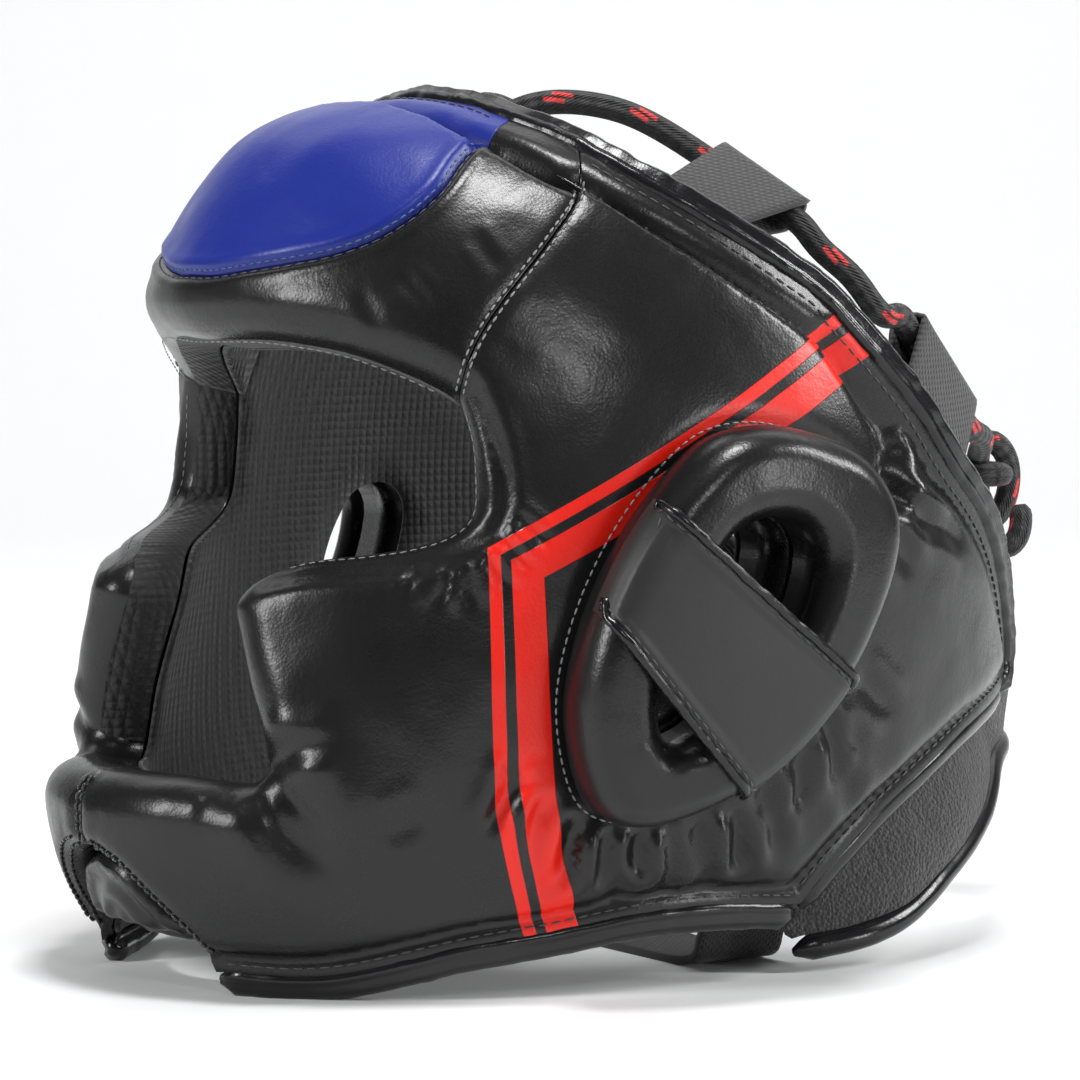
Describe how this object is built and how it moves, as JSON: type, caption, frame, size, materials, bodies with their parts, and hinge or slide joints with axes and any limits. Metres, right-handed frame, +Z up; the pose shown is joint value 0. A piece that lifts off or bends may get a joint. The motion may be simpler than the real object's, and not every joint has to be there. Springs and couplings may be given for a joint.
{
  "type": "boxing headgear",
  "caption": "Padded full-face boxing headgear with a face opening, ear pads, chin roll, laced crown, nape closure and chin strap.",
  "frame": {"origin": "middle of the footprint, on the floor that the jaw and nape edges stand on, measured without the lace", "axes": "the wearer looks along -Y, the wearer's left is +X, and +Z is up"},
  "size_m": [0.2514, 0.2981, 0.2261],
  "materials": {
    "black_leather": "semi-gloss",
    "blue_leather": "satin",
    "mesh_lining": "matt",
    "black_webbing": "matt",
    "lace_braid": "matt, with red flecks",
    "black_pile": "matt pile"
  },
  "bodies": {
    "root": {"side_panel_left": "black_leather", "side_panel_right": "black_leather", "forehead_panel": "blue_leather", "brow_panel": "black_leather", "chin_gusset": "black_leather", "ear_pad_left": "black_leather", "ear_pad_right": "black_leather", "ear_strap_left": "black_leather", "ear_strap_right": "black_leather", "lining_left": "mesh_lining", "lining_right": "mesh_lining", "forehead_lining": "mesh_lining", "brow_lining": "mesh_lining", "crown_binding": "black_leather", "jaw_binding_left": "black_leather", "jaw_binding_right": "black_leather", "nape_binding_left": "black_leather", "nape_binding_right": "black_leather", "nape_strap_left": "black_pile", "nape_strap_right": "black_leather", "nape_strap_binding_left": "black_leather", "nape_strap_binding_right": "black_leather", "chin_strap": "black_webbing", "crown_loop": "black_webbing", "crown_webbing_left": "black_webbing", "crown_webbing_right": "black_webbing", "rear_webbing_left": "black_webbing", "rear_webbing_right": "black_webbing", "lace": "lace_braid", "lace_knot": "lace_braid"}
  },
  "joints": []
}
